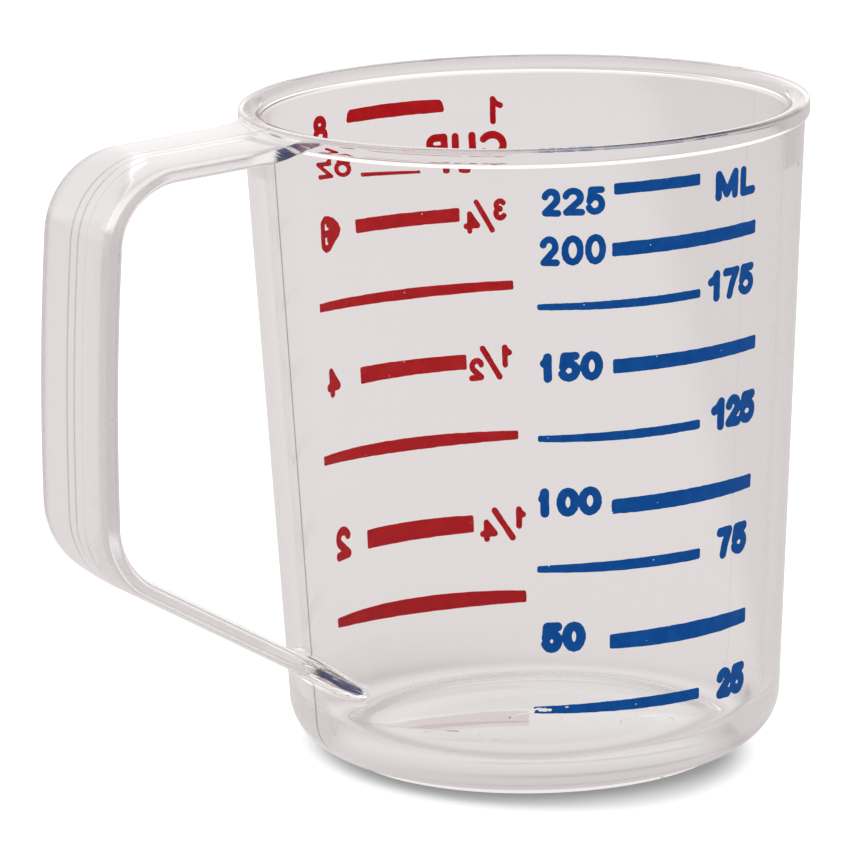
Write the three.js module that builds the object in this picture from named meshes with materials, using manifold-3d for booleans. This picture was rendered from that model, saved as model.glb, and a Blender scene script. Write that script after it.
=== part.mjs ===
// A clear moulded measuring cup: tapered wall, rounded base, beaded rim, strap handle and two printed scales.
// Millimetres, +Z up. The origin is the middle of the flat underside. The handle points along -X, the
// millilitre scale faces -Y and the ounce scale faces +Y.
import * as THREE from 'three';
import { mergeVertices } from 'three/addons/utils/BufferGeometryUtils.js';
import Module from 'manifold-3d';

const wasm = await Module();
wasm.setup();

// Cup body
const cupHeight = 83;
const footRadius = 31; // outer cone carried down to the underside
const mouthRadius = 35.3; // outer cone carried up to the rim crest
const wallThickness = 2.1;
const floorThickness = 2.6;
const outerCornerRadius = 7.25;
const innerCornerRadius = 7;
const cornerMargin = 0.4; // straight wall left on the base piece above its corners

// Rim bead
const beadHeight = 2.4;
const beadProjection = 0.6;
const beadRounding = 1.2;

// Strap handle, measured on the crown line of its outer face
const handleWidth = 18;
const handleCrown = 0.35;
const edgeRounding = 1;
const armThickness = 2.4;
const gripThickness = 2.9;
const gripBow = 0.4;
const upperBendRadius = 10.8;
const lowerBendRadius = 11.5;
const upperRootDrop = 0.15; // below the rim crest, at the wall
const upperTipDrop = 1.9; // below the rim crest, where the upper arm meets the line of the grip
const upperReach = 27.1; // from the mouth radius to the grip
const lowerRootHeight = 12.25; // above the underside, at the wall
const lowerTipHeight = 31.95; // above the underside, where the lower arm meets the line of the grip
const lowerReach = 31.95; // from the wall to the grip
const rootFlare = 2.3; // extra half width where an arm runs into the wall
const rootFlareLength = 5;
const rootDepth = 4; // how far the arms run in before they are cut to the wall
const seatGap = 0.3; // between an arm's end and the wall

// Printed scales
const inkThickness = 0.12;
const inkGap = 0.05;
const majorBar = 1.75;
const minorBar = 1.15;
const printMargin = 0.5; // bare wall kept between a bar and the bead or the base piece
const majorBarStart = -6.8; // along the wall from the middle of the scale
const majorBarEnd = 15.2;
const minorBarStart = -16;
const minorBarEnd = 5.6;
const shortBarEnd = 4.9; // the top bar stops short of the unit mark
const millilitreStep = 25;
const millilitreHeights = [12.5, 21, 30.65, 38.15, 47.05, 55.7, 63.5, 70.2, 77.65];
const ounceBarStart = -8;
const ounceBarEnd = 8.9;
const ounceLineStart = -15.1;
const ounceLineEnd = 17.7;
const ounceShortStart = -2.8; // the line next to the top stands between two unit marks
const ounceShortEnd = 7;
const ounceHeights = [11, 21.15, 32.8, 42.95, 52.85, 62.5, 70, 76.9];

// Mesh fineness
const turnSteps = 96;
const cornerSteps = 8;
const roundSteps = 5;
const bendSteps = 8;
const gripSteps = 8;
const flareSteps = 5;
const crownSteps = 6;
const edgeSteps = 3;
const printSteps = 14;

// Colours and finishes
const clearPlastic = { color: 0xdedad9, roughness: 0.06, metalness: 0, transparent: true, opacity: 0.4 };
const blueInk = { color: 0x1b4a89, roughness: 0.45, metalness: 0 };
const redInk = { color: 0x9f2127, roughness: 0.45, metalness: 0 };

// Values worked out from the sizes above
const wallSlope = (mouthRadius - footRadius) / cupHeight;
const wallTilt = Math.atan(wallSlope);
const beadUnderside = cupHeight - beadHeight;
const baseTop = Math.max(floorThickness + innerCornerRadius, outerCornerRadius) + cornerMargin;

function outerRadius(height) {
  return footRadius + wallSlope * height;
}

function innerRadius(height) {
  return outerRadius(height) - wallThickness;
}

function makeMesh(name, geometry, finish) {
  const mesh = new THREE.Mesh(geometry, new THREE.MeshStandardMaterial(finish));
  mesh.name = name;
  return mesh;
}

// A turned solid from a list of [radius, height] points, outside upwards and inside downwards
function turned(points) {
  const profile = points.map(([radius, height]) => new THREE.Vector2(radius, height));
  const geometry = new THREE.LatheGeometry(profile, turnSteps);
  geometry.rotateX(Math.PI / 2);
  return geometry;
}

// Points of an arc about [radius, height], from one angle to another
function arcPoints(centre, radius, from, to, steps) {
  const points = [];
  for (let step = 0; step <= steps; step += 1) {
    const angle = from + ((to - from) * step) / steps;
    points.push([centre[0] + radius * Math.cos(angle), centre[1] + radius * Math.sin(angle)]);
  }
  return points;
}

// The fillet between a level floor and the tapered wall, from the floor up to the wall
function cornerPoints(floorHeight, radius, wallRadius) {
  const height = floorHeight + radius;
  const centre = [wallRadius(height) - radius / Math.cos(wallTilt), height];
  return arcPoints(centre, radius, -Math.PI / 2, -wallTilt, cornerSteps);
}

function cupBase() {
  const outside = cornerPoints(0, outerCornerRadius, outerRadius);
  const inside = cornerPoints(floorThickness, innerCornerRadius, innerRadius).reverse();
  const joint = [
    [outerRadius(baseTop), baseTop],
    [innerRadius(baseTop), baseTop],
  ];
  return turned([[0, 0], ...outside, ...joint, ...inside, [0, floorThickness]]);
}

function cupWall() {
  return turned([
    [outerRadius(baseTop), baseTop],
    [outerRadius(beadUnderside), beadUnderside],
    [innerRadius(beadUnderside), beadUnderside],
    [innerRadius(baseTop), baseTop],
    [outerRadius(baseTop), baseTop],
  ]);
}

function rimBead() {
  const roundHeight = cupHeight - beadRounding;
  const outside = outerRadius(roundHeight) + beadProjection;
  const inside = innerRadius(roundHeight);
  const outerRound = arcPoints([outside - beadRounding, roundHeight], beadRounding, 0, Math.PI / 2, roundSteps);
  const innerRound = arcPoints([inside + beadRounding, roundHeight], beadRounding, Math.PI / 2, Math.PI, roundSteps);
  const foot = [innerRadius(beadUnderside), beadUnderside];
  return turned([foot, [outside, beadUnderside], ...outerRound, ...innerRound, foot]);
}

// A closed skin over rings of points, each ring convex and run the same way round
function lofted(rings) {
  const count = rings[0].length;
  const positions = rings.flat().flatMap((point) => [point.x, point.y, point.z]);
  const triangles = [];
  for (let ring = 0; ring + 1 < rings.length; ring += 1) {
    for (let side = 0; side < count; side += 1) {
      const near = ring * count + side;
      const next = ring * count + ((side + 1) % count);
      triangles.push(near, next, next + count, near, next + count, near + count);
    }
  }
  const last = (rings.length - 1) * count;
  for (let side = 1; side + 1 < count; side += 1) {
    triangles.push(0, side + 1, side);
    triangles.push(last, last + side, last + side + 1);
  }
  const geometry = new THREE.BufferGeometry();
  geometry.setAttribute('position', new THREE.Float32BufferAttribute(positions, 3));
  geometry.setIndex(triangles);
  return geometry;
}

// Corners of the handle's outer line in the plane of the handle, from the upper root to the lower one
function handleCorners() {
  const upperRoot = new THREE.Vector2(-mouthRadius, cupHeight - upperRootDrop);
  const upperTip = new THREE.Vector2(-mouthRadius - upperReach, cupHeight - upperTipDrop);
  const lowerTip = new THREE.Vector2(-outerRadius(lowerTipHeight) - lowerReach, lowerTipHeight);
  const lowerRoot = new THREE.Vector2(-outerRadius(lowerRootHeight), lowerRootHeight);
  return [upperRoot, upperTip, lowerTip, lowerRoot];
}

// Where the strap stands at one place: a point of its outer line, the way it runs, thickness and half width
function station(point, along, thickness, halfWidth) {
  const outward = new THREE.Vector2(along.y, -along.x);
  return { point, outward, thickness, halfWidth };
}

// Stations of one straight arm near its root, where it flares into the wall
function rootStations(root, inward) {
  const stations = [];
  for (let step = 0; step <= flareSteps; step += 1) {
    const share = step / flareSteps;
    const flare = rootFlare * (1 - Math.sqrt(1 - share * share));
    const point = root.clone().addScaledVector(inward, (share - 1) * rootFlareLength);
    stations.push({ point, halfWidth: handleWidth / 2 + flare });
  }
  const depth = root.clone().addScaledVector(inward, rootDepth);
  stations.push({ point: depth, halfWidth: handleWidth / 2 + rootFlare });
  return stations;
}

// Stations round a bend between two straight runs, with the strap's thickness passing from one to the other
function bendStations(corner, before, after, radius, fromThickness, toThickness) {
  const turn = Math.acos(before.dot(after));
  const tangent = radius * Math.tan(turn / 2);
  const start = corner.clone().addScaledVector(before, -tangent);
  const centre = start.clone().add(new THREE.Vector2(-before.y, before.x).multiplyScalar(radius));
  const stations = [];
  for (let step = 0; step <= bendSteps; step += 1) {
    const share = step / bendSteps;
    const along = before.clone().rotateAround(new THREE.Vector2(), turn * share);
    const outward = new THREE.Vector2(along.y, -along.x);
    const thickness = fromThickness + (toThickness - fromThickness) * share;
    stations.push(station(centre.clone().addScaledVector(outward, radius), along, thickness, handleWidth / 2));
  }
  return stations;
}

// The strap's cross-section at a station: crowned outside, flat inside, rounded edges
function strapRing({ point, outward, thickness, halfWidth }) {
  const rounding = Math.min(edgeRounding, (thickness - handleCrown) / 2);
  const flat = halfWidth - rounding;
  const section = [];
  for (let step = 0; step <= crownSteps; step += 1) {
    const across = -1 + (2 * step) / crownSteps;
    section.push([across * flat, handleCrown * across * across]);
  }
  const edges = [
    [flat, handleCrown + rounding, -Math.PI / 2],
    [flat, thickness - rounding, 0],
    [-flat, thickness - rounding, Math.PI / 2],
    [-flat, handleCrown + rounding, Math.PI],
  ];
  edges.forEach(([across, depth, from]) => {
    section.push(...arcPoints([across, depth], rounding, from, from + Math.PI / 2, edgeSteps));
  });
  return section.map(([across, depth]) => {
    const place = point.clone().addScaledVector(outward, -depth);
    return new THREE.Vector3(place.x, across, place.y);
  });
}

// The cup's outside grown by the seat gap, which the handle's roots are cut to
function rootCutter() {
  const below = -rootDepth;
  const above = cupHeight + rootDepth;
  const step = beadUnderside - seatGap;
  const beadOutside = outerRadius(cupHeight - beadRounding) + beadProjection + seatGap;
  return turned([
    [0, below],
    [outerRadius(below) + seatGap, below],
    [outerRadius(step) + seatGap, step],
    [beadOutside, step],
    [beadOutside, above],
    [0, above],
  ]);
}

function toSolid(geometry) {
  const bare = geometry.clone();
  bare.deleteAttribute('normal');
  bare.deleteAttribute('uv');
  const welded = mergeVertices(bare);
  const vertProperties = new Float32Array(welded.attributes.position.array);
  const triVerts = new Uint32Array(welded.index.array);
  const mesh = new wasm.Mesh({ numProp: 3, vertProperties, triVerts });
  mesh.merge();
  return new wasm.Manifold(mesh);
}

function toGeometry(solid) {
  const mesh = solid.getMesh();
  const geometry = new THREE.BufferGeometry();
  geometry.setAttribute('position', new THREE.Float32BufferAttribute(mesh.vertProperties, mesh.numProp));
  geometry.setIndex(Array.from(mesh.triVerts));
  return geometry;
}

function cutToWall(geometry) {
  return toGeometry(toSolid(geometry).subtract(toSolid(rootCutter())));
}

function handlePieces() {
  const [upperRoot, upperTip, lowerTip, lowerRoot] = handleCorners();
  const outwards = upperTip.clone().sub(upperRoot).normalize();
  const downwards = lowerTip.clone().sub(upperTip).normalize();
  const inwards = lowerRoot.clone().sub(lowerTip).normalize();
  const upperBend = bendStations(upperTip, outwards, downwards, upperBendRadius, armThickness, gripThickness);
  const lowerBend = bendStations(lowerTip, downwards, inwards, lowerBendRadius, gripThickness, armThickness);

  const upperArm = rootStations(upperRoot, outwards.clone().negate())
    .reverse()
    .map(({ point, halfWidth }) => station(point, outwards, armThickness, halfWidth));
  upperArm.push(upperBend[0]);

  const gripStart = upperBend[bendSteps].point;
  const gripEnd = lowerBend[0].point;
  const grip = [];
  for (let step = 1; step < gripSteps; step += 1) {
    const share = step / gripSteps;
    const straight = station(gripStart.clone().lerp(gripEnd, share), downwards, gripThickness, handleWidth / 2);
    straight.point.addScaledVector(straight.outward, gripBow * 4 * share * (1 - share));
    grip.push(straight);
  }

  const lowerArm = rootStations(lowerRoot, inwards)
    .map(({ point, halfWidth }) => station(point, inwards, armThickness, halfWidth));
  lowerArm.unshift(lowerBend[bendSteps]);

  return [
    makeMesh('handle_upper_arm', cutToWall(lofted(upperArm.map(strapRing))), clearPlastic),
    makeMesh('handle_grip', lofted([...upperBend, ...grip, ...lowerBend].map(strapRing)), clearPlastic),
    makeMesh('handle_lower_arm', cutToWall(lofted(lowerArm.map(strapRing))), clearPlastic),
  ];
}

// One printed bar wrapped on the wall, from start to end along it, about the angle that faces the reader
function printedBar(facing, start, end, height, bar) {
  const rings = [];
  for (let step = 0; step <= printSteps; step += 1) {
    const along = start + ((end - start) * step) / printSteps;
    const angle = facing + along / outerRadius(height);
    const corners = [
      [inkGap, -bar / 2],
      [inkGap, bar / 2],
      [inkGap + inkThickness, bar / 2],
      [inkGap + inkThickness, -bar / 2],
    ];
    rings.push(corners.map(([proud, rise]) => {
      const radius = outerRadius(height + rise) + proud;
      return new THREE.Vector3(radius * Math.cos(angle), radius * Math.sin(angle), height + rise);
    }));
  }
  return lofted(rings);
}

function fitsOnWall(height, bar) {
  return height + bar / 2 + printMargin < beadUnderside;
}

function millilitreScale() {
  const group = new THREE.Group();
  const facing = -Math.PI / 2;
  millilitreHeights.forEach((height, index) => {
    const volume = (index + 1) * millilitreStep;
    const major = volume % (2 * millilitreStep) === 0;
    const top = index + 1 === millilitreHeights.length;
    const bar = major ? majorBar : minorBar;
    const start = major || top ? majorBarStart : minorBarStart;
    const end = major ? majorBarEnd : minorBarEnd;
    if (fitsOnWall(height, bar)) {
      const geometry = printedBar(facing, start, top ? shortBarEnd : end, height, bar);
      group.add(makeMesh(`millilitre_line_${volume}`, geometry, blueInk));
    }
  });
  return group;
}

function ounceSpan(ounces, major) {
  if (ounces === ounceHeights.length - 1) {
    return [ounceShortStart, ounceShortEnd];
  }
  return major ? [ounceBarStart, ounceBarEnd] : [ounceLineStart, ounceLineEnd];
}

function ounceScale() {
  const group = new THREE.Group();
  const facing = Math.PI / 2;
  ounceHeights.forEach((height, index) => {
    const ounces = index + 1;
    const major = ounces % 2 === 0;
    const bar = major ? majorBar : minorBar;
    const [start, end] = ounceSpan(ounces, major);
    if (fitsOnWall(height, bar)) {
      const geometry = printedBar(facing, start, end, height, bar);
      group.add(makeMesh(`ounce_line_${ounces}`, geometry, redInk));
    }
  });
  return group;
}

const body = new THREE.Group();
body.add(makeMesh('cup_base', cupBase(), clearPlastic));
body.add(makeMesh('cup_wall', cupWall(), clearPlastic));
body.add(makeMesh('rim_bead', rimBead(), clearPlastic));

const handle = new THREE.Group();
handle.add(...handlePieces());

const measuringCup = new THREE.Group();
measuringCup.add(body, handle, millilitreScale(), ounceScale());

export default measuringCup;
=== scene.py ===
import math

import bpy
import numpy as np
from mathutils import Matrix, Vector


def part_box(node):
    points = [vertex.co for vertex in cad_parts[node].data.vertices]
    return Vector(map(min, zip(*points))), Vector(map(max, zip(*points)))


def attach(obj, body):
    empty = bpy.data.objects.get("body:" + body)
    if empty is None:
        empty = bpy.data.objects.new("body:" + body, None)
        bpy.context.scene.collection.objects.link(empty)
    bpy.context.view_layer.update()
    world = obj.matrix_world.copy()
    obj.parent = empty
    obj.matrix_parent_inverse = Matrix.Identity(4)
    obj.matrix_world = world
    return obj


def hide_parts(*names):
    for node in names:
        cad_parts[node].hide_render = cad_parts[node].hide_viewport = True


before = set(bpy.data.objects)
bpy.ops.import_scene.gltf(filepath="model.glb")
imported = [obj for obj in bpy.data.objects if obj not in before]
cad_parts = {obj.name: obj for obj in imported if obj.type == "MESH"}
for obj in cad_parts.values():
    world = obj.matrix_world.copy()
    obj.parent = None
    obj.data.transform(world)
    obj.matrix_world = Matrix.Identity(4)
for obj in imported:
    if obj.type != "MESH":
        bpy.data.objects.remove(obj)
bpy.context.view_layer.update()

mm = 0.001
scene = bpy.context.scene
scene.view_settings.view_transform = "Standard"
print("frame loaded:", len(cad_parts), "nodes")


class Shade:
    # one output of a shader node, with arithmetic that adds Math nodes

    def __init__(self, tree, socket=None):
        self.tree = tree
        self.socket = socket

    def node(self, kind, settings=None, inputs=None, output=0):
        made = self.tree.nodes.new(kind)
        for name, value in (settings or {}).items():
            if name == "stops":
                ramp = made.color_ramp.elements
                while len(ramp) < len(value):
                    ramp.new(1)
                for stop, (place, colour) in zip(ramp, value):
                    stop.position = place
                    stop.color = (*colour, 1)
            else:
                setattr(made, name, value)
        for key, value in (inputs or {}).items():
            self.plug(made.inputs[key], value)
        return Shade(self.tree, made.outputs[output] if made.outputs else None)

    def plug(self, socket, value):
        if isinstance(value, Shade):
            self.tree.links.new(value.socket, socket)
        elif hasattr(socket.default_value, "__len__") and len(socket.default_value) == 4:
            socket.default_value = (*value, 1)
        else:
            socket.default_value = value

    def maths(self, operation, *values):
        return self.node("ShaderNodeMath", {"operation": operation}, dict(enumerate(values)))

    def mix(self, factor, first, second):
        return self.node("ShaderNodeMix", {"data_type": "RGBA"}, {0: factor, 6: first, 7: second}, 2)

    def step(self, low, high):
        inputs = {"Value": self, "From Min": low, "From Max": high}
        return self.node("ShaderNodeMapRange", {"interpolation_type": "SMOOTHSTEP"}, inputs)

    def fall(self, low, high):
        return 1 - self.step(low, high)

    def within(self, rise, fall):
        return self.step(*rise) * self.fall(*fall)

    def size(self):
        return self.maths("ABSOLUTE", self)

    def most(self, other):
        return self.maths("MAXIMUM", self, other)

    def __add__(self, other):
        return self.maths("ADD", self, other)

    def __sub__(self, other):
        return self.maths("SUBTRACT", self, other)

    def __rsub__(self, other):
        return self.maths("SUBTRACT", other, self)

    def __mul__(self, other):
        return self.maths("MULTIPLY", self, other)

    __radd__ = __add__
    __rmul__ = __mul__


def newMaterial(name):
    material = bpy.data.materials.new(name)
    material.use_nodes = True
    material.node_tree.nodes.clear()
    return material, Shade(material.node_tree)


def finishMaterial(shade, surface):
    shade.node("ShaderNodeOutputMaterial", None, {"Surface": surface})


def noiseField(shade, place, scale, detail=3):
    return shade.node("ShaderNodeTexNoise", None, {"Vector": place, "Scale": scale, "Detail": detail})


def objectPlace(shade):
    return shade.node("ShaderNodeTexCoord", output="Object")


def through(shade, tint):
    return shade.node("ShaderNodeBsdfTransparent", None, {"Color": tint})


def rayIs(shade, kind):
    return shade.node("ShaderNodeLightPath", output=kind)


def blend(shade, factor, first, second):
    return shade.node("ShaderNodeMixShader", None, {0: factor, 1: first, 2: second})


def cupPlace(shade):
    # in mm: along the plane of the handle, across it, up, out from the axis and out from the wall's face
    parts = {0: objectPlace(shade)}
    along, across, up = (shade.node("ShaderNodeSeparateXYZ", None, parts, axis) * (1 / mm) for axis in "XYZ")
    fromAxis = shade.maths("SQRT", along * along + across * across)
    return along, across, up, fromAxis, fromAxis - up * wallSlope - cup["footRadius"]


seamLook = {
    # painted shade: a dark tint along the raised parting line, standing in for how the ridge bends light
    "tint": (0.1, 0.09, 0.11),
    "halfWidth": 0.4,
    "skin": (-1.89, -1.59),  # on the outside of the cup only
    "farStart": (0, 1),
    "farShare": 0.3,  # the parting line opposite the handle is cleaner
    "handleShare": 0.75,
}


def seamMask(shade, onHandle):
    along, across, _, _, outside = cupPlace(shade)
    share = 1 - along.step(*seamLook["farStart"]) * (1 - seamLook["farShare"])
    share = share - onHandle * (1 - seamLook["handleShare"])
    return across.size().fall(0, seamLook["halfWidth"]) * share * outside.step(*seamLook["skin"])


sideLook = {
    "tint": (0.78, 0.745, 0.755),  # painted shade on the handle's edges, darker as if seen through the width of the strap
    "reach": (7.6, 8.9),
    "fullHeight": (28, 36),
    "lowerShare": 0.65,  # on the lower arm they show less
    "roughness": 0.25,
}


def strapEdges(shade, onHandle):
    _, across, up, _, _ = cupPlace(shade)
    share = up.step(*sideLook["fullHeight"]) * (1 - sideLook["lowerShare"]) + sideLook["lowerShare"]
    return across.size().step(*sideLook["reach"]) * onHandle * share


rimLook = {
    "tint": (0.07, 0.055, 0.05),  # painted shade: dark lines along the edges of the rim
    "share": 0.8,
    "edgeDepth": (0.03, 0.2),  # the outer edge, down from the top
    "edgeRadius": (35, 35.2),
    "edgeSide": (-10, 5),
    "edgeStart": (-38, 4),
    "edgeEnd": (23.5, 26.5),
    "edgeSpread": (6, 20),  # away from the handle it is wider and paler
    "edgeWider": 0.65,
    "edgePaler": 0.55,
    "farSide": (0, 12),
    "lipDepth": 1.55,  # painted shade: a line in the mouth, below the slope
    "lipReach": (0.04, 0.16),
    "lipRadius": (33.8, 34),
    "lipEnds": (0, 24),
    "lipShares": (0.1, 0.4),  # in the middle of the far side and more of it towards its ends
    "slopeDepth": (0.1, 1.1),  # shade on the far side of the slope into the mouth
    "slopeStart": (-26, -8),
    "slopeShares": (0.12, 0.12),  # all along it and more of it towards the handle
    "rootRadius": 34.4,  # painted shade: a line over the handle
    "rootReach": (0.15, 0.4),
    "rootHeight": (82.4, 82.7),
    "rootEnd": (-33.4, -32),
    "rootSide": (2, 5),
}


def rimShadeLines(shade):
    # painted shade along the rim's outer edge, in the mouth and over the handle
    along, across, up, fromAxis, _ = cupPlace(shade)
    depth = cup["height"] - up
    farSide = across.step(*rimLook["farSide"])
    spread = along.step(*rimLook["edgeSpread"])
    edge = (depth * (1 - spread * rimLook["edgeWider"])).fall(*rimLook["edgeDepth"])
    edge = edge * fromAxis.step(*rimLook["edgeRadius"]) * across.fall(*rimLook["edgeSide"])
    edge = edge * along.within(rimLook["edgeStart"], rimLook["edgeEnd"])
    edge = edge * (1 - spread * rimLook["edgePaler"]) * rimLook["share"]
    least, more = rimLook["lipShares"]
    lip = (depth - rimLook["lipDepth"]).size().fall(*rimLook["lipReach"])
    lip = lip * fromAxis.fall(*rimLook["lipRadius"]) * farSide
    lip = lip * (along.size().step(*rimLook["lipEnds"]) * more + least)
    least, more = rimLook["slopeShares"]
    slope = depth.fall(*rimLook["slopeDepth"]) * fromAxis.fall(*rimLook["edgeRadius"]) * farSide
    slope = slope * (along.fall(*rimLook["slopeStart"]) * more + least)
    root = (fromAxis - rimLook["rootRadius"]).size().fall(*rimLook["rootReach"])
    root = root * up.step(*rimLook["rootHeight"]) * along.fall(*rimLook["rootEnd"])
    root = root * across.fall(*rimLook["rootSide"]) * rimLook["share"]
    return edge.most(lip).most(slope).most(root)


rootLook = {
    # painted reflection: the print mirrored in the near sides of the handle's roots: colours, and where the
    # second one comes in
    "colours": ((0.004, 0.006, 0.03), (0.1, 0.035, 0.07)),
    "redderAlong": (-36.8, -35.8),
    "redderUp": (40, 50),
    "streakScale": (0.26, 1.7),  # along the strap and across it
    "streakMiddle": 0.5,
    "streakGaps": (0.28, 0.45),
    "raggedness": 3,
    "side": (-8.95, -8.6),
    "end": (-1, 0),
    "upperLow": (79.5, 80),
    "upperHigh": (82.5, 82.75),
    "upperRadius": (35.85, 35.95),
    "upperStart": (-40, -39),
    "armSlope": 0.597,  # lower face of the lower arm
    "armDrop": 6.615,
    "offWall": (0.1, 0.4),
    # the clear lens of the lower root, with painted grey shade and painted dark streaks
    "lensLow": (0, 0.3),
    "lensHigh": (2.6, 2.9),
    "lensStart": (-38, -35),
    "lensTint": (0.34, 0.3, 0.31),
    "lensShare": 0.55,
    "heartLow": (0.7, 1),
    "heartHigh": (1.9, 2.2),
    "heartStart": (-36.5, -35.5),
    "heartRaggedness": 1,
    "darkStreaks": (0.4, 0.62),
    "darkShares": (0.2, 0.45),
    "lessInReflection": 0.8,
    "filletLow": (2.6, 2.8),  # painted shade: dark line in the crease where the lower arm meets the wall
    "filletHigh": (3.5, 3.9),
    "filletReach": (0.45, 0.8),
    "filletSide": (-1, 1),
    "filletTop": (40, 45),
    "filletShare": 0.7,
}


def rootMarks(shade):
    # painted reflection of the print, how red it is, the clear lens of the lower root, and painted dark
    # streaks and lines
    along, across, up, fromAxis, outside = cupPlace(shade)
    onArm = up + along * rootLook["armSlope"] + rootLook["armDrop"]
    alongScale, acrossScale = rootLook["streakScale"]
    streakPlace = {0: along * alongScale, 1: shade.maths("MINIMUM", onArm, up) * acrossScale}
    streaks = noiseField(shade, shade.node("ShaderNodeCombineXYZ", None, streakPlace), 1)
    uneven = streaks - rootLook["streakMiddle"]
    ragged = along + uneven * rootLook["raggedness"]
    handleSide = along.fall(*rootLook["end"])
    nearSide = across.fall(*rootLook["side"]) * handleSide
    offWall = outside.step(*rootLook["offWall"])
    upper = up.within(rootLook["upperLow"], rootLook["upperHigh"]) * fromAxis.step(*rootLook["upperRadius"])
    upper = upper * ragged.step(*rootLook["upperStart"]) * nearSide
    lens = onArm.within(rootLook["lensLow"], rootLook["lensHigh"])
    lens = lens * along.step(*rootLook["lensStart"]) * offWall * nearSide
    heart = onArm + uneven * rootLook["heartRaggedness"]
    heart = heart.within(rootLook["heartLow"], rootLook["heartHigh"])
    heart = heart * ragged.step(*rootLook["heartStart"]) * lens
    printReflection = upper.most(heart) * streaks.step(*rootLook["streakGaps"])
    redness = along.step(*rootLook["redderAlong"]) * up.step(*rootLook["redderUp"])
    least, more = rootLook["darkShares"]
    dark = lens * (streaks.step(*rootLook["darkStreaks"]) * more + least)
    dark = dark * (1 - printReflection * rootLook["lessInReflection"])
    fillet = onArm.within(rootLook["filletLow"], rootLook["filletHigh"]) * handleSide
    fillet = fillet * offWall * outside.fall(*rootLook["filletReach"]) * across.fall(*rootLook["filletSide"])
    fillet = fillet * up.fall(*rootLook["filletTop"]) * rootLook["filletShare"]
    return printReflection, redness, lens, dark.most(fillet)


footLook = {
    # painted shade: dark lines and a band round the foot: height, half width, share, and where along the cup
    # they come in
    "lines": [
        (2.1, 0.3, 0.6, (-32, -16)),
        (3.7, 0.6, 0.6, (-32, -12)),
        (3, 3, 0.85, (2, 16)),
    ],
    "tint": (0.25, 0.23, 0.24),
    "radius": (26, 27.5),
    "side": (-12, 0),
    "patchScale": 150,
    "patches": (0.25, 0.5),
    "patchShare": 0.5,
    "dullHeight": (0.5, 0.7),  # the ring under the foot is duller on the far side
    "dullRadius": (21, 22),
    "dullSide": (-12, -2),
}


def footShadeAndDullness(shade):
    # painted shade round the foot, and the duller ring under it
    along, across, up, fromAxis, _ = cupPlace(shade)
    wearAndShade = 0
    for level, half, share, start in footLook["lines"]:
        wearAndShade = ((up - level).size().fall(0, half) * along.step(*start) * share).most(wearAndShade)
    patches = noiseField(shade, objectPlace(shade), footLook["patchScale"]).step(*footLook["patches"])
    wearAndShade = wearAndShade * (patches * footLook["patchShare"] + 1 - footLook["patchShare"])
    wearAndShade = wearAndShade * fromAxis.step(*footLook["radius"]) * across.fall(*footLook["side"])
    dull = up.fall(*footLook["dullHeight"]) * fromAxis.step(*footLook["dullRadius"])
    return wearAndShade, dull * across.step(*footLook["dullSide"])


deepLook = {
    "mostMirrors": 2.5,
    "fewerInRim": 2,
    "tint": (0.9, 0.885, 0.885),  # light that has gone round inside many times
    "rimTint": (0.85, 0.83, 0.83),  # the same in the rim
    "rimStart": (74, 76),
    "darkTint": (0.5, 0.47, 0.48),  # and in the rim over the blue scale, from far down the wall
    "darkSide": (-26, -12),
    "darkHeight": (79.6, 80.4),
    "darkEnd": (16, 25),
}


def deepLight(shade, onHandle):
    # where light has been mirrored too often to follow, and what it shows there
    along, across, up, _, _ = cupPlace(shade)
    inRim = up.step(*deepLook["rimStart"]) * (1 - onHandle)
    most = deepLook["mostMirrors"] - inRim * deepLook["fewerInRim"]
    deep = shade.maths("GREATER_THAN", rayIs(shade, "Glossy Depth"), most)
    dark = across.fall(*deepLook["darkSide"]) * up.step(*deepLook["darkHeight"])
    dark = dark * along.fall(*deepLook["darkEnd"])
    rim = blend(shade, dark, through(shade, deepLook["rimTint"]), through(shade, deepLook["darkTint"]))
    return deep, blend(shade, inRim, through(shade, deepLook["tint"]), rim)


shadowLook = {
    "footTint": (0.02, 0.02, 0.02),
    "wallTint": (0.98, 0.98, 0.98),
    "height": (5, 9.4),  # the plastic below this blocks light
    "reach": (22, 25),
    "front": -5,  # where along the cup the shadow is widest
    "lift": (0.24, 0.24),  # how fast it gets narrower towards the handle and away from it
}


def castShadow(shade):
    along, _, up, fromAxis, _ = cupPlace(shade)
    offFront = along - shadowLook["front"]
    towards, away = shadowLook["lift"]
    lift = (offFront * away).most(offFront * -towards)
    reach = shade.maths("SQRT", fromAxis * fromAxis + up * up)
    foot = (up + lift).fall(*shadowLook["height"]) * reach.step(*shadowLook["reach"])
    return blend(shade, foot, through(shade, shadowLook["wallTint"]), through(shade, shadowLook["footTint"]))


clearLook = {
    "tint": (0.996, 0.995, 0.995),
    "edgeTint": (0.94, 0.937, 0.937),
    "cloudTint": (0.92, 0.916, 0.918),
    "ior": 1.585,
    "glare": (0.08, 0.45),  # shares of mirrored light between which the gloss comes in
    "calm": 0.9,
    "handleStart": (-38, -37),
    "gripStart": (-58, -50),
    "gripGloss": 0.7,
    "roughness": 0.012,
    "scuffRoughness": 0.05,
    "scuffs": (0.62, 0.8),
    "rippleScale": 90,
    "grainScale": 900,
    "bumpDistance": 0.02 * mm,
    "bumpStrength": 0.25,
}


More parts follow.
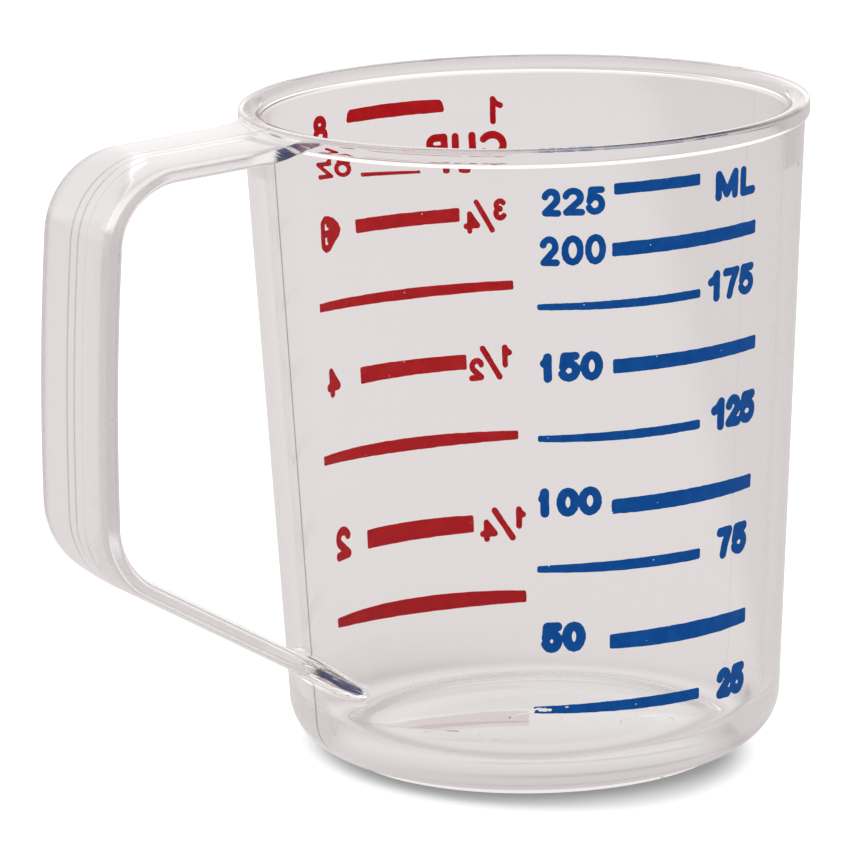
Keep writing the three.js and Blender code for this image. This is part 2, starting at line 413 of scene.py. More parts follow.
def clearPlastic():
    material, shade = newMaterial("clear moulded plastic")
    along = cupPlace(shade)[0]
    ripple = noiseField(shade, objectPlace(shade), clearLook["rippleScale"])
    grain = noiseField(shade, objectPlace(shade), clearLook["grainScale"])
    onHandle = along.fall(*clearLook["handleStart"])
    seamLine = seamMask(shade, onHandle)
    edge = strapEdges(shade, onHandle)
    printReflection, redness, lens, dark = rootMarks(shade)
    wearAndShade, dull = footShadeAndDullness(shade)
    cloud = shade.mix(ripple, clearLook["edgeTint"], clearLook["cloudTint"])
    # painted shade on the handle's edges
    cloud = shade.mix(edge, cloud, sideLook["tint"])
    # painted grey shade on the lower root's lens
    cloud = shade.mix(lens * rootLook["lensShare"], cloud, rootLook["lensTint"])
    # painted reflection of the print in the handle's roots
    cloud = shade.mix(printReflection, cloud, shade.mix(redness, *rootLook["colours"]))
    # painted shade: dark lines round the foot
    cloud = shade.mix(wearAndShade, cloud, footLook["tint"])
    roughness = grain.step(*clearLook["scuffs"]) * clearLook["scuffRoughness"] + clearLook["roughness"]
    roughness = roughness + edge.most(dull) * sideLook["roughness"]
    bump = {"Strength": clearLook["bumpStrength"], "Distance": clearLook["bumpDistance"], "Height": ripple}
    normal = shade.node("ShaderNodeBump", None, bump)
    glossy = shade.node("ShaderNodeBsdfPrincipled", None, {
        # base colour with painted shade along the parting line
        "Base Color": shade.mix(seamLine, cloud, seamLook["tint"]),
        "Roughness": roughness,
        "Transmission Weight": 1,
        "IOR": clearLook["ior"],
        "Normal": normal,
    })
    calm = shade.node("ShaderNodeBsdfRefraction", None, {
        "Color": clearLook["tint"],
        "Roughness": roughness,
        "IOR": clearLook["ior"],
        "Normal": normal,
    })
    mirrored = shade.node("ShaderNodeFresnel", None, {"IOR": clearLook["ior"], "Normal": normal})
    quiet = mirrored.fall(*clearLook["glare"]) * clearLook["calm"]
    quiet = quiet * (1 - along.fall(*clearLook["gripStart"]) * clearLook["gripGloss"])
    for mark in (seamLine, edge, printReflection, wearAndShade, lens):
        quiet = quiet * (1 - mark)
    body = blend(shade, quiet, glossy, calm)
    deep, deepEnd = deepLight(shade, onHandle)
    body = blend(shade, deep, body, deepEnd)
    # painted shade: dark lines on the rim, over the handle and round the lower root's lens
    body = blend(shade, rimShadeLines(shade).most(dark), body, through(shade, rimLook["tint"]))
    shadow = castShadow(shade)
    for kind in ("Is Diffuse Ray", "Is Shadow Ray"):
        body = blend(shade, rayIs(shade, kind), body, shadow)
    finishMaterial(shade, body)
    return material


inkLook = {
    "blue": ((0.003, 0.068, 0.29), (0.006, 0.085, 0.33)),
    "red": ((0.44, 0.004, 0.008), (0.52, 0.008, 0.012)),
    "roughness": 0.35,
    "mottleRoughness": 0.2,
    "gloss": 0.05,
    "mottleScale": 700,
    "mottleDetail": 4,
    "mottle": (0.35, 0.75),
    "bumpDistance": 0.02 * mm,
    "bumpStrength": 0.4,
}


def printInk(colourName):
    material, shade = newMaterial(colourName + " screen ink")
    mottle = noiseField(shade, objectPlace(shade), inkLook["mottleScale"], inkLook["mottleDetail"])
    thick, thin = inkLook[colourName]
    bump = {"Strength": inkLook["bumpStrength"], "Distance": inkLook["bumpDistance"], "Height": mottle}
    finishMaterial(shade, shade.node("ShaderNodeBsdfPrincipled", None, {
        "Base Color": shade.mix(mottle.step(*inkLook["mottle"]), thick, thin),
        "Roughness": mottle * inkLook["mottleRoughness"] + inkLook["roughness"],
        "Specular IOR Level": inkLook["gloss"],
        "Normal": shade.node("ShaderNodeBump", None, bump),
    }))
    return material


def placed(name, points, faces):
    mesh = bpy.data.meshes.new(name)
    mesh.from_pydata((np.asarray(points) * mm).tolist(), [], faces)
    mesh.validate()
    made = bpy.data.objects.new(name, mesh)
    scene.collection.objects.link(made)
    return made


def arcPoints(centre, radius, start, end, steps):
    turns = np.linspace(math.radians(start), math.radians(end), steps + 1)
    return [(centre[0] + radius * math.cos(t), centre[1] + radius * math.sin(t)) for t in turns]


cup = {
    "height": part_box("rim_bead")[1].z / mm,
    "footRadius": 31,
    "mouthRadius": 35.3,
    "wall": 2.1,
    "floor": 2.6,
    "outerCorner": 7.25,
    "innerCorner": 7,
    "footRingWidth": 2.4,
    "footRecess": 0.2,  # the underside is dished a little
    "footRise": 0.5,  # the corner ends on a low upright foot
    "footOut": 0.81,
    "beadHeight": 2.35,
    "beadRadius": 35.81,
    "beadFootRound": 1.0,
    "flareLength": 2.7,  # under the bead the wall leans out a little
    "flareTilt": 0.0435,
    "beadTopRound": 0.25,
    "rimLine": 34.6,  # where the flat of the rim ends and the slope into the mouth starts
    "mouthSlope": 0.25,
    "mouthDrop": 1.1,
    "turnSteps": 360,
    "wallSteps": 40,
    "undersideSteps": 8,
    "cornerSteps": 24,
    "cornerGap": 0.2,  # left out of the corner's curve next to the foot
    "flareSteps": 8,
    "beadSteps": 8,
    "beadTopSteps": 5,
    "mouthSteps": 8,
    "innerCornerSteps": 20,
    "floorRings": (0.8, 0.5, 0.2),  # shares of the floor's radius
    "sharpAngle": 32,
}
# raised parting line, in the plane of the handle
seam = {"height": 0.006, "halfWidth": 0.22, "steps": 8}
wallSlope = (cup["mouthRadius"] - cup["footRadius"]) / cup["height"]
wallTilt = math.degrees(math.atan(wallSlope))
beadFoot = cup["height"] - cup["beadHeight"]


def outerRadius(height):
    return cup["footRadius"] + wallSlope * height


def innerRadius(height):
    return outerRadius(height) - cup["wall"]


def cornerArc(level, radius, wallRadius, steps):
    height = level + radius
    centre = (wallRadius(height) - radius / math.cos(math.radians(wallTilt)), height)
    return arcPoints(centre, radius, -90, -wallTilt, steps)


def bent(first, pull, last, steps):
    # a curve between two points, drawn towards a third
    first, pull, last = (np.array(point, float) for point in (first, pull, last))
    shares = np.linspace(0, 1, steps + 1)
    return [tuple(first * (1 - t) ** 2 + pull * 2 * t * (1 - t) + last * t * t) for t in shares]


def eased(before, corner, after, reach, steps):
    # a rounded corner of a profile, from one side of it to the other
    before, corner, after = (np.array(point, float) for point in (before, corner, after))
    first = corner + (before - corner) * reach / np.linalg.norm(before - corner)
    last = corner + (after - corner) * reach / np.linalg.norm(after - corner)
    return bent(first, corner, last, steps)


def seamRise(offset):
    # height of the parting line at a distance from its middle
    share = np.clip(np.abs(offset) / seam["halfWidth"], 0, 1)
    return seam["height"] * (0.5 + 0.5 * np.cos(math.pi * share))


def cupProfile():
    corner = cornerArc(0, cup["outerCorner"], outerRadius, cup["cornerSteps"])
    footEdge = corner[0][0] + cup["footOut"]
    squeeze = 1 - cup["footRise"] / cup["outerCorner"]
    outside = [(footEdge, 0), (footEdge, cup["footRise"])]
    for radius, height in corner:
        if radius > footEdge + cup["cornerGap"]:
            outside.append((radius, cup["footRise"] + height * squeeze))
    ringInside = footEdge - cup["footRingWidth"]
    recess = cup["footRecess"]
    shares = np.linspace(0, 1, cup["undersideSteps"] + 1)
    underside = [(ringInside * share, recess * (1 - share * share)) for share in shares]
    flareStart = beadFoot - cup["flareLength"]
    for height in np.linspace(outside[-1][1], flareStart, cup["wallSteps"])[1:]:
        outside.append((outerRadius(height), height))
    for share in np.linspace(0, 1, cup["flareSteps"] + 1)[1:-1]:
        lean = cup["flareTilt"] * cup["flareLength"] * share ** 2 / 2
        height = flareStart + cup["flareLength"] * share
        outside.append((outerRadius(height) + lean, height))
    high, footRound = cup["height"], cup["beadFootRound"]
    out = cup["beadRadius"] - outerRadius(beadFoot) - cup["flareTilt"] * cup["flareLength"] / 2
    sweep = math.acos(1 - out / footRound)  # from the wall out to the bead's face
    centre = (cup["beadRadius"] - footRound, beadFoot + footRound * math.sin(sweep))
    outside += arcPoints(centre, footRound, -math.degrees(sweep), 0, cup["beadSteps"])
    rimLine = (cup["rimLine"], high)
    beadTop = (cup["beadRadius"], high)
    outside += eased(outside[-1], beadTop, rimLine, cup["beadTopRound"], cup["beadTopSteps"])
    drop = high - cup["mouthDrop"]
    slope = (innerRadius(high), high - cup["mouthSlope"])
    inside = bent(rimLine, slope, (innerRadius(drop), drop), cup["mouthSteps"])
    corner = cornerArc(cup["floor"], cup["innerCorner"], innerRadius, cup["innerCornerSteps"])[::-1]
    for height in np.linspace(inside[-1][1], corner[0][1], cup["wallSteps"])[1:-1]:
        inside.append((innerRadius(height), height))
    inside += corner
    edgeOfFloor = corner[-1][0]
    inside += [(edgeOfFloor * share, cup["floor"]) for share in cup["floorRings"]]
    inside.append((0, cup["floor"]))
    return underside, outside, inside


def turnAngles():
    # even steps round the cup, with a fine set across each parting line
    fine = np.linspace(-1, 1, seam["steps"] + 1) * seam["halfWidth"] / cup["mouthRadius"]
    even = np.linspace(-0.5 * math.pi, 1.5 * math.pi, cup["turnSteps"], endpoint=False)
    away = [t for t in even if min(abs(t), abs(t - math.pi)) > 2 * fine[-1]]
    return np.array(sorted(away + list(fine) + list(fine + math.pi)))


def turnedBody():
    underside, outside, inside = cupProfile()
    profile = underside + outside + inside
    angles = turnAngles()
    count = len(angles)
    plainTop = cup["beadTopSteps"] + 1  # the parting line stops under the rounded edge of the rim
    onSeam = set(range(len(underside), len(underside) + len(outside) - plainTop))
    points, faces = [(0, 0, profile[0][1])], []
    for index, (radius, height) in enumerate(profile[1:-1], 1):
        nearest = np.minimum(np.abs(angles), np.abs(angles - math.pi)) * radius
        rise = seamRise(nearest) if index in onSeam else 0
        reach = radius + rise
        points += list(zip(reach * np.cos(angles), reach * np.sin(angles), [height] * count))
    points.append((0, 0, profile[-1][1]))
    last = len(points) - 1
    for side in range(count):
        after = (side + 1) % count
        faces.append((0, 1 + after, 1 + side))
        for ring in range(len(profile) - 3):
            low = 1 + ring * count
            faces.append((low + side, low + after, low + count + after, low + count + side))
        low = 1 + (len(profile) - 3) * count
        faces.append((low + side, low + after, last))
    return placed("clear_cup", points, faces)


handle = {
    "width": 18,
    "crown": 0.35,
    "edgeRound": 0.75,
    "armThickness": 2.4,
    "gripThickness": 2.9,
    "gripBow": 0.37,
    "upperBend": 10.8,
    "lowerBend": 11.5,
    "upperRootDrop": 0.15,
    "upperTipDrop": 1.9,
    "upperReach": 27.1,
    "lowerRootHeight": 12.25,
    "lowerTipHeight": 31.95,
    "lowerReach": 31.92,
    "rootFlare": 2.3,
    "rootFlareLength": 5,
    "rootFillet": 0.7,
    "rootTaper": 0.8,  # how far the strap thins towards the tips of the flare
    "upperTip": 0.0,  # place of the tips in the strap's thickness
    "lowerTip": 0.6,
    "rootDepth": 1.1,
    "bendSteps": 28,
    "gripSteps": 24,
    "armSteps": 14,
    "rootSteps": 16,
    "edgeSteps": 6,
    "faceSteps": 9,
    "seamPlaces": (0.25, 0.5, 0.75, 1, 1.5, 2),  # points beside the parting line, in half widths of it
    "leastFlat": 0.02,  # left straight between the rounded edges
    "slideRounds": 12,
}


def strapSection(thickness, halfWidth, taper, tip):
    # across and depth of the strap's edge, from its outer face round to its inner face
    crown = handle["crown"] * (1 - taper)
    left = (thickness - crown) * (1 - taper)
    start = crown + tip * (thickness - crown - left)
    deep = start + left
    rounding = min(handle["edgeRound"], left / 2 - handle["leastFlat"])
    flat = halfWidth - rounding
    steps, turns = handle["faceSteps"], handle["edgeSteps"]
    near = np.array(handle["seamPlaces"]) * seam["halfWidth"]
    wide = np.linspace(1, steps, steps) / steps * (flat - near[-1]) + near[-1]
    across = np.concatenate([-wide[::-1], -near[::-1], [0], near, wide])
    bend = (across / flat) ** 2
    outerFace = list(zip(across, crown * bend + (start - crown) * bend ** 2 - seamRise(across)))
    innerFace = list(zip(across, thickness + (deep - thickness) * bend + seamRise(across)))
    section = outerFace
    section += arcPoints((flat, start + rounding), rounding, -90, 0, turns)[1:]
    section += arcPoints((flat, deep - rounding), rounding, 0, 90, turns)[:-1]
    section += innerFace[::-1]
    section += arcPoints((-flat, deep - rounding), rounding, 90, 180, turns)[1:]
    section += arcPoints((-flat, start + rounding), rounding, 180, 270, turns)[:-1]
    return np.array(section)


def strapRing(point, along, thickness, halfWidth, taper=0, tip=0):
    outward = np.array([along[1], -along[0]])
    section = strapSection(thickness, halfWidth, taper, tip)
    place = point - section[:, 1:] * outward
    return np.column_stack([place[:, 0], section[:, 0], place[:, 1]])


def toWall(ring, inward, gap, wallReach):
    # each point of a ring slid along the arm until it stands a gap away from the cup's outside
    moved = ring.copy()
    way = np.array([inward[0], 0, inward[1]])
    for _ in range(handle["slideRounds"]):
        clear = np.hypot(moved[:, 0], moved[:, 1]) - wallReach(moved[:, 2]) - gap
        moved += np.outer(clear / abs(inward[0]), way)
    return moved


def rootRings(root, inward, outwardAlong, wallReach, fillets, tip):
    rings = []
    length, flare, fillet = handle["rootFlareLength"], handle["rootFlare"], handle["rootFillet"]
    shares = np.sin(np.linspace(0, 1, handle["rootSteps"] + 1) * math.pi / 2)
    for share in shares:
        gap = length * (1 - share)
        spread = flare * (1 - math.sqrt(max(0, 1 - share * share)))
        near = max(0, 1 - gap / fillet)
        swell = fillet * (1 - math.sqrt(max(0, 1 - near * near)))
        above, below = (swell if side else 0 for side in fillets)
        outward = np.array([outwardAlong[1], -outwardAlong[0]])
        thickness = handle["armThickness"] + above + below
        halfWidth = handle["width"] / 2 + spread
        taper = handle["rootTaper"] * share ** 2
        ring = strapRing(root + outward * above, outwardAlong, thickness, halfWidth, taper, tip)
        rings.append(toWall(ring, inward, gap, wallReach))
    rings.append(toWall(rings[-1], inward, -handle["rootDepth"], wallReach))
    return rings


def bendRings(corner, before, after, radius, thicknesses):
    turn = math.acos(float(before @ after))
    start = corner - before * radius * math.tan(turn / 2)
    centre = start + np.array([-before[1], before[0]]) * radius
    rings = []
    for share in np.linspace(0, 1, handle["bendSteps"] + 1):
        angle = turn * share
        along = np.array([
            before[0] * math.cos(angle) - before[1] * math.sin(angle),
            before[0] * math.sin(angle) + before[1] * math.cos(angle),
        ])
        thickness = thicknesses[0] + (thicknesses[1] - thicknesses[0]) * share
        point = centre + np.array([along[1], -along[0]]) * radius
        rings.append((point, strapRing(point, along, thickness, handle["width"] / 2)))
    return rings


def straightRings(first, last, steps, along, thickness, bow=0):
    rings = []
    outward = np.array([along[1], -along[0]])
    for share in np.linspace(0, 1, steps + 1)[1:-1]:
        point = first + (last - first) * share + outward * bow * 4 * share * (1 - share)
        rings.append(strapRing(point, along, thickness, handle["width"] / 2))
    return rings


def strapHandle():
    high = cup["height"]
    upperRoot = np.array([-cup["mouthRadius"], high - handle["upperRootDrop"]])
    upperTip = np.array([-cup["mouthRadius"] - handle["upperReach"], high - handle["upperTipDrop"]])
    tipHeight, rootHeight = handle["lowerTipHeight"], handle["lowerRootHeight"]
    lowerTip = np.array([-outerRadius(tipHeight) - handle["lowerReach"], tipHeight])
    lowerRoot = np.array([-outerRadius(rootHeight), rootHeight])
    ways = [upperTip - upperRoot, lowerTip - upperTip, lowerRoot - lowerTip]
    out, down, back = [way / np.linalg.norm(way) for way in ways]
    arm, grip = handle["armThickness"], handle["gripThickness"]
    upper = bendRings(upperTip, out, down, handle["upperBend"], (arm, grip))
    lower = bendRings(lowerTip, down, back, handle["lowerBend"], (grip, arm))
    steps = handle["armSteps"]

    def beadReach(height):
        return np.full(len(height), cup["beadRadius"])

    upperStart = upperRoot + out * (handle["rootFlareLength"] + cup["beadRadius"] - cup["mouthRadius"])
    lowerEnd = lowerRoot - back * handle["rootFlareLength"] / abs(back[0])
    rings = rootRings(upperRoot, -out, out, beadReach, (False, True), handle["upperTip"])[::-1]
    rings += straightRings(upperStart, upper[0][0], steps, out, arm)
    rings += [ring for _, ring in upper]
    rings += straightRings(upper[-1][0], lower[0][0], handle["gripSteps"], down, grip, handle["gripBow"])
    rings += [ring for _, ring in lower]
    rings += straightRings(lower[-1][0], lowerEnd, steps, back, arm)
    rings += rootRings(lowerRoot, back, back, outerRadius, (True, True), handle["lowerTip"])
    count = len(rings[0])
    faces = [tuple(range(count))[::-1]]
    for low in range(0, (len(rings) - 1) * count, count):
        for side in range(count):
            after = (side + 1) % count
            faces.append((low + side, low + after, low + count + after, low + count + side))
    faces.append(tuple(range((len(rings) - 1) * count, len(rings) * count)))
    return placed("strap_handle", np.concatenate(rings), faces)


def joined(body, tool, operation):
    # one closed skin from two, and the tool is gone afterwards
    cut = body.modifiers.new("join", "BOOLEAN")
    cut.operation = operation
    cut.solver = "EXACT"
    cut.object = tool
    bpy.context.view_layer.update()
    result = bpy.data.meshes.new_from_object(body.evaluated_get(bpy.context.evaluated_depsgraph_get()))
    body.modifiers.clear()
    body.data = result
    bpy.data.objects.remove(tool)


pinMarks = {
    "places": [(0, 0), (11.2, -9.5), (-13.6, -2.6)],
    "radius": 3.5,
    "depth": 0.08,
    "sides": 64,
}


def pinMark(place):
    # a shallow disc with sloping sides, to sink into the floor of the cup
    low, high = cup["floor"] - pinMarks["depth"], cup["floor"] + pinMarks["depth"]
    turns = np.linspace(0, 2 * math.pi, pinMarks["sides"], endpoint=False)
    points = []
    for level, reach in ((low, pinMarks["radius"]), (high, pinMarks["radius"] + 2 * pinMarks["depth"])):
        points += [(place[0] + reach * math.cos(t), place[1] + reach * math.sin(t), level) for t in turns]
    count = len(turns)
    faces = [tuple(range(count))[::-1], tuple(range(count, 2 * count))]
    faces += [(s, (s + 1) % count, count + (s + 1) % count, count + s) for s in range(count)]
    return placed("pin_mark", points, faces)


plastic = clearPlastic()
clearCup = turnedBody()
joined(clearCup, strapHandle(), "UNION")
for markPlace in pinMarks["places"]:
    joined(clearCup, pinMark(markPlace), "DIFFERENCE")
clearCup.data.materials.clear()
clearCup.data.materials.append(plastic)
clearCup.data.shade_smooth()
clearCup.data.set_sharp_from_angle(angle=math.radians(cup["sharpAngle"]))
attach(clearCup, "root")
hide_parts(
    "cup_base", "cup_wall", "rim_bead", "handle_upper_arm", "handle_grip", "handle_lower_arm"
)
print("moulding made:", len(clearCup.data.polygons), "faces")


printing = {
    "cell": 0.1,
    "margin": 0.4,
    "bowPoints": 15,
    "fractionDrop": 0.34,
    "outside": 0.04,
    "inside": 0.02,
    "raggedness": 0.018,
    "waves": 10,
    "waveLengths": (0.5, 4),
    "cornerRound": 0.25,
    "specks": 2,
    "speckSize": (0.05, 0.1),
    "speckSpread": (-0.5, 0.5),  # share of the line's thickness
    "wearAndShade": {"millilitre_bar_25": (4.5, 14)},  # length of the worn start and number of gaps in it
    "wornLength": (0.15, 0.5),
    "wornHeight": (0.06, 0.14),
    "wornSpread": (-0.5, 0.4),
    "taper": {"ounce_bar_8": (0.28, 0.5)},  # how fast the ends draw in towards the top, and their corners
    "blueFacing": -90,
    "redFacing": 90,
}


def bow(centre, reach, start, end):
    turns = np.radians(np.linspace(start, end, printing["bowPoints"]))
    return [(centre[0] + reach[0] * math.cos(t), centre[1] + reach[1] * math.sin(t)) for t in turns]


# pen strokes of each sign in a box one wide and one tall
signs = {
    "0": [bow((0.5, 0.5), (0.5, 0.5), 90, 450)],
    "1": [[(1, 0), (1, 1), (0.6, 0.8), (0, 0.7)]],
    "2": [bow((0.48, 0.7), (0.46, 0.3), 165, -38) + [(0.05, 0.03), (1, 0)]],
    "3": [bow((0.45, 0.76), (0.45, 0.24), 150, -90) + bow((0.45, 0.27), (0.52, 0.27), 90, -150)],
    "4": [[(0.68, 0), (0.68, 1), (0, 0.3), (1, 0.3)]],
    "5": [[(0.95, 1), (0.2, 1), (0.08, 0.5)] + bow((0.48, 0.33), (0.5, 0.33), 125, -155)],
    "6": [
        [(0.8, 1), (0.62, 0.98), (0.34, 0.88), (0.12, 0.72), (0.02, 0.56), (0.1, 0.42), (0.3, 0.3)]
        + [(0.48, 0.16), (0.66, 0.03), (0.85, 0), (1, 0.12), (1, 0.5), (0.97, 0.88), (0.8, 1)],
        [(0.62, 0.82), (0.36, 0.68), (0.28, 0.56), (0.42, 0.46), (0.62, 0.3)],
        [(0.2, 0.54), (0.98, 0.5)],
    ],
    "7": [[(0, 1), (1, 1), (0.6, 0.5), (0.38, 0)]],
    "8": [bow((0.5, 0.76), (0.42, 0.24), 0, 360), bow((0.5, 0.26), (0.5, 0.26), 0, 360)],
    "/": [[(0, 0), (1, 1)]],
    "M": [[(0, 0), (0, 1), (0.5, 0.1), (1, 1), (1, 0)]],
    "L": [[(0, 1), (0, 0), (1, 0)]],
    "C": [bow((0.5, 0.5), (0.5, 0.5), 38, 322)],
    "U": [[(0, 1)] + bow((0.5, 0.35), (0.5, 0.35), 180, 360) + [(1, 1)]],
    "P": [[(0, 0), (0, 1)] + bow((0.55, 0.73), (0.45, 0.27), 90, -90) + [(0, 0.46)]],
    "O": [bow((0.5, 0.5), (0.5, 0.5), 90, 450)],
    "Z": [[(0, 1), (1, 1), (0, 0), (1, 0)]],
}


def strokeDistance(along, up, strokes):
    nearest = np.full(along.shape, 1e9)
    for line in strokes:
        for (x0, y0), (x1, y1) in zip(line, line[1:]):
            dx, dy = x1 - x0, y1 - y0
            share = np.clip(((along - x0) * dx + (up - y0) * dy) / max(dx * dx + dy * dy, 1e-9), 0, 1)
            nearest = np.minimum(nearest, np.hypot(along - x0 - share * dx, up - y0 - share * dy))
    return nearest


def raggedEdge(along, up, seed, size):
    draw = np.random.RandomState(seed)
    total = np.zeros(along.shape)
    for _ in range(printing["waves"]):
        heading, turn = draw.uniform(0, 2 * math.pi, 2)
        rate = 2 * math.pi / draw.uniform(*printing["waveLengths"])
        total += np.sin(rate * (along * math.cos(heading) + up * math.sin(heading)) + turn)
    return total * size / math.sqrt(printing["waves"])


def filledCells(depth):
    # flat faces over the grid where depth is below zero, cut along the zero line
    points, faces, known = [], [], {}

    def crossing(first, second):
        share = depth[first] / (depth[first] - depth[second])
        place = tuple(a + (b - a) * share for a, b in zip(first, second))
        return tuple(sorted((first, second))), place

    def number(key, place):
        if key not in known:
            known[key] = len(points)
            points.append(place)
        return known[key]

    inside = depth < 0
    busy = inside[:-1, :-1] | inside[1:, :-1] | inside[:-1, 1:] | inside[1:, 1:]
    for row, column in zip(*np.nonzero(busy)):
        cell = [(row, column), (row, column + 1), (row + 1, column + 1), (row + 1, column)]
        outline = []
        for here, after in zip(cell, cell[1:] + cell[:1]):
            if inside[here]:
                outline.append(number(here, here))
            if inside[here] != inside[after]:
                outline.append(number(*crossing(here, after)))
        faces.append(tuple(outline))
    return points, faces


def inkFilm(name, facing, box, depthAt, material):
    # a thin closed film on the wall, in a box from start to end and from low to high
    # depthAt is below zero where there is ink
    start, end, low, high = box
    margin = printing["margin"]
    along = np.arange(start - margin, end + margin, printing["cell"])
    up = np.arange(low - margin, high + margin, printing["cell"])
    flat, faces = filledCells(depthAt(*np.meshgrid(along, up)))
    flat = np.array(flat)
    arc = along[0] + flat[:, 1] * printing["cell"]
    level = up[0] + flat[:, 0] * printing["cell"]
    angle = math.radians(facing) + arc / outerRadius(0.5 * (low + high))
    sheets = []
    for rise in (printing["outside"], -printing["inside"]):
        reach = outerRadius(level) + rise
        sheets.append(np.column_stack([reach * np.cos(angle), reach * np.sin(angle), level]))
    count = len(flat)
    edges = {(a, b) for face in faces for a, b in zip(face, face[1:] + face[:1])}
    sides = [(b, a, a + count, b + count) for a, b in edges if (b, a) not in edges]
    under = [tuple(index + count for index in face[::-1]) for face in faces]
    film = placed(name, np.concatenate(sheets), faces + under + sides)
    film.data.materials.append(material)
    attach(film, "root")
    return film


def threeWay(values, share):
    # a smooth course through the values at the start, the middle and the end
    first, middle, last = values
    atEnds = first * (1 - share) * (1 - 2 * share) + last * share * (2 * share - 1)
    return atEnds + middle * 4 * share * (1 - share)


def gapsInInk(name, start, end, level, thickness, draw):
    # small ovals without ink: place along, place up, half length and half height
    gaps = []
    for _ in range(printing["specks"]):
        size = draw.uniform(*printing["speckSize"])
        along = draw.uniform(start, end)
        gaps.append((along, level + draw.uniform(*printing["speckSpread"]) * thickness, size, size))
    wornStart, wornGaps = printing["wearAndShade"].get(name, (0, 0))
    for _ in range(wornGaps):
        length, height = draw.uniform(*printing["wornLength"]), draw.uniform(*printing["wornHeight"])
        along = start + wornStart * draw.uniform(0, 1) ** 2
        gaps.append((along, level + draw.uniform(*printing["wornSpread"]) * thickness, length, height))
    return gaps


def bar(name, facing, line, seed, material):
    start, end, levels, thicknesses = line
    taper, rounding = printing["taper"].get(name, (0, printing["cornerRound"]))
    gaps = gapsInInk(name, start, end, levels[0], thicknesses[0], np.random.RandomState(seed))

    def depthAt(along, up):
        share = np.clip((along - start) / (end - start), 0, 1)
        sideways = np.abs(along - (start + end) / 2) - (end - start) / 2 + rounding
        rise = up - threeWay(levels, share)
        sideways = sideways + taper * (rise + thicknesses[1] / 2)
        upwards = np.abs(rise) - threeWay(thicknesses, share) / 2 + rounding
        outside = np.hypot(np.maximum(sideways, 0), np.maximum(upwards, 0))
        depth = outside + np.minimum(np.maximum(sideways, upwards), 0) - rounding
        depth = depth + raggedEdge(along, up, seed, printing["raggedness"])
        for x, y, length, height in gaps:
            depth = np.maximum(depth, height * (1 - np.hypot((along - x) / length, (up - y) / height)))
        return depth

    half = max(thicknesses) / 2
    box = (start, end, min(levels) - half, max(levels) + half)
    film = inkFilm(name, facing, box, depthAt, material)
    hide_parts(name.replace("_bar", "_line"))


def label(name, text, facing, mark, seed, material):
    # signs share a height, but the upper and lower number of a fraction each take a part of it
    spans, low, high, pen = mark
    slash = text.find("/")
    drop = printing["fractionDrop"] * (high - low)
    strokes = []
    for index, (sign, (left, right)) in enumerate(zip(text, spans)):
        foot, head = low, high
        if index < slash:
            foot = low + drop
        elif index > slash >= 0:
            head = high - drop
        width, height = right - left - pen, head - foot - pen
        for line in signs[sign]:
            strokes.append([(left + pen / 2 + x * width, foot + pen / 2 + y * height) for x, y in line])

    def depthAt(along, up):
        ragged = raggedEdge(along, up, seed, printing["raggedness"])
        return strokeDistance(along, up, strokes) - pen / 2 + ragged

    box = (spans[0][0], spans[-1][1], low, high)
    inkFilm(name, facing, box, depthAt, material)


millilitres = {
    # line: start, end, then level and thickness at the start, middle and end
    "lines": {
        225: (-6.95, 4.9, (77.65, 77.67, 77.65), (1.4, 1.4, 1.45)),
        200: (-7.1, 15.0, (70.2, 70.25, 70.32), (1.72, 1.75, 1.7)),
        175: (-16.2, 5.2, (63.6, 63.42, 63.47), (0.75, 1.05, 1.1)),
        150: (-6.8, 15.6, (55.7, 55.68, 55.7), (1.82, 1.77, 1.7)),
        125: (-15.95, 5.5, (47.15, 47.0, 47.0), (0.78, 1.15, 1.15)),
        100: (-6.75, 15.2, (38.07, 38.06, 38.02), (1.85, 2.0, 1.75)),
        75: (-15.9, 5.85, (30.68, 30.57, 30.45), (0.85, 1.33, 1.35)),
        50: (-6.8, 14.7, (20.9, 20.8, 20.75), (1.85, 2.2, 1.85)),
        25: (-16.2, 6.05, (12.65, 12.57, 12.38), (0.85, 1.35, 1.42)),
    },
    # mark: start and end of each sign, bottom, top, pen width
    "marks": {
        "225": (((-15.85, -13.4), (-13.35, -10.55), (-10.5, -8.0)), 74.65, 78.15, 0.85),
        "200": (((-16.0, -13.55), (-13.35, -10.6), (-10.5, -7.85)), 68.55, 72.3, 0.85),
        "150": (((-15.8, -14.35), (-13.65, -10.85), (-10.9, -8.05)), 54.15, 57.85, 1.03),
        "100": (((-15.85, -14.5), (-13.65, -10.8), (-11.0, -8.0)), 37.2, 40.9, 1.1),
        "50": (((-15.4, -12.65), (-12.8, -9.8)), 19.95, 23.85, 1.2),
        "ML": (((7.4, 11.35), (11.8, 14.8)), 74.5, 78.25, 1.08),
        "175": (((6.4, 8.4), (8.9, 11.9), (11.75, 14.85)), 62.0, 65.95, 1.05),
        "125": (((7.3, 9.6), (9.8, 12.8), (12.4, 15.8)), 45.6, 49.75, 1.23),
        "75": (((8.65, 11.5), (11.35, 14.6)), 29.0, 33.1, 1.25),
        "25": (((9.05, 11.95), (11.6, 14.75)), 10.75, 14.8, 1.3),
    },
}
